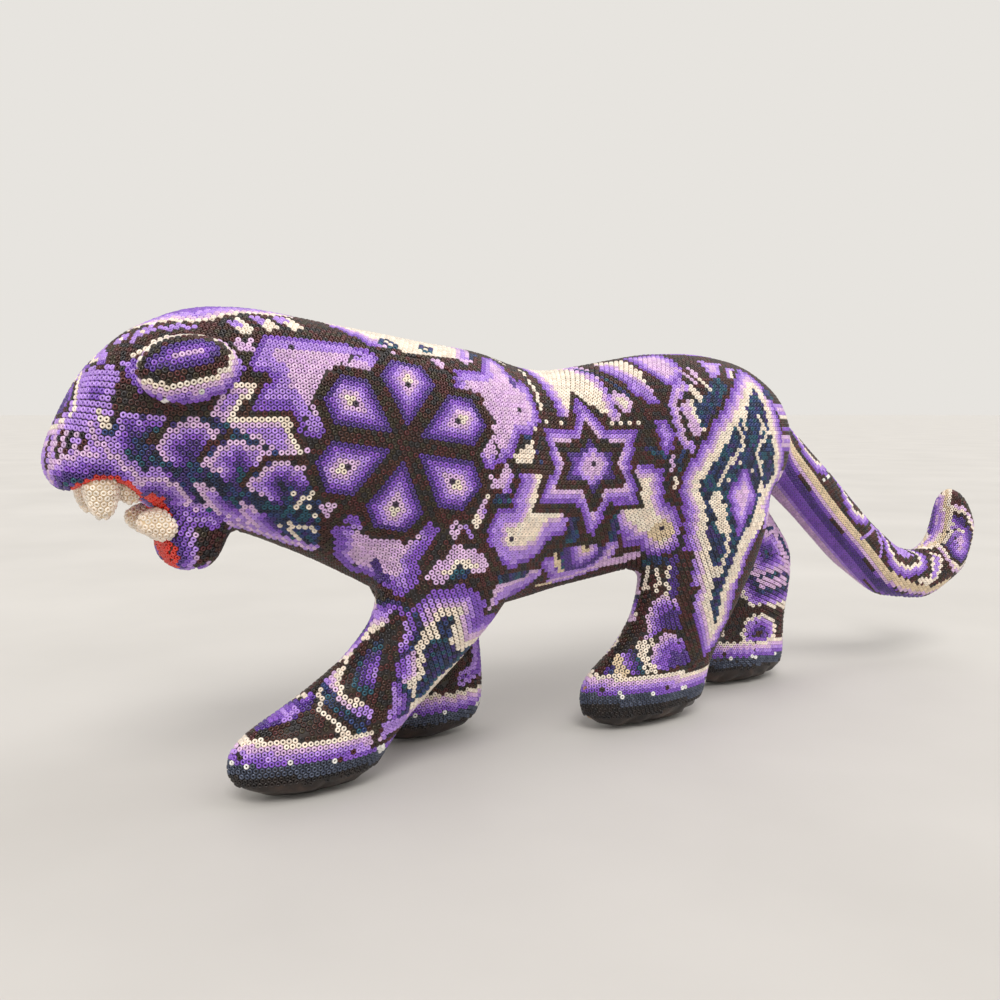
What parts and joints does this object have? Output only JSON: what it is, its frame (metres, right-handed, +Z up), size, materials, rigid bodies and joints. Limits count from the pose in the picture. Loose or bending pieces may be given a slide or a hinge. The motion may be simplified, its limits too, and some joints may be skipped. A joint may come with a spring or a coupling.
{
  "type": "huichol beaded figure",
  "caption": "Walking big cat of carved wood pegged together, coated with wax and covered all over in a mosaic of small glass seed beads, with an open mouth and a hooked tail.",
  "frame": {"origin": "on the ground, under the middle of the figure's overall box", "axes": "+Z up, -X towards the nose, -Y towards the figure's left flank"},
  "size_m": [0.4838, 0.087, 0.1734],
  "materials": {
    "body_beads": "small opaque glass beads in purple, lilac, cream, navy and bronze",
    "gum_beads": "small glossy red glass beads",
    "tooth_beads": "small cream glass beads",
    "wax": "dark campeche wax mixed with resin",
    "sole_wax": "bare dark wax, lumpy",
    "carved_wood": "carved softwood, left rough",
    "peg_wood": "turned hardwood"
  },
  "bodies": {
    "root": {"ear_left_beads": "body_beads", "ear_left_core": "carved_wood", "ear_left_peg": "peg_wood", "ear_left_wax": "wax", "ear_right_beads": "body_beads", "ear_right_core": "carved_wood", "ear_right_peg": "peg_wood", "ear_right_wax": "wax", "fang_lower_left": "tooth_beads", "fang_lower_right": "tooth_beads", "fang_upper_back_left": "tooth_beads", "fang_upper_back_right": "tooth_beads", "fang_upper_front_left": "tooth_beads", "fang_upper_front_right": "tooth_beads", "head_beads": "body_beads", "head_core": "carved_wood", "head_wax": "wax", "jaw_beads": "body_beads", "jaw_core": "carved_wood", "jaw_dowel": "peg_wood", "jaw_lining_beads": "gum_beads", "jaw_wax": "wax", "leg_front_left_beads": "body_beads", "leg_front_left_core": "carved_wood", "leg_front_left_dowel": "peg_wood", "leg_front_left_wax": "wax", "leg_front_right_beads": "body_beads", "leg_front_right_core": "carved_wood", "leg_front_right_dowel": "peg_wood", "leg_front_right_wax": "wax", "leg_hind_left_beads": "body_beads", "leg_hind_left_core": "carved_wood", "leg_hind_left_dowel": "peg_wood", "leg_hind_left_wax": "wax", "leg_hind_right_beads": "body_beads", "leg_hind_right_core": "carved_wood", "leg_hind_right_dowel": "peg_wood", "leg_hind_right_wax": "wax", "neck_dowel": "peg_wood", "palate_beads": "gum_beads", "sole_front_left": "sole_wax", "sole_front_right": "sole_wax", "sole_hind_left": "sole_wax", "sole_hind_right": "sole_wax", "tail_beads": "body_beads", "tail_core": "carved_wood", "tail_dowel": "peg_wood", "tail_wax": "wax", "trunk_beads": "body_beads", "trunk_core": "carved_wood", "trunk_wax": "wax"}
  },
  "joints": []
}
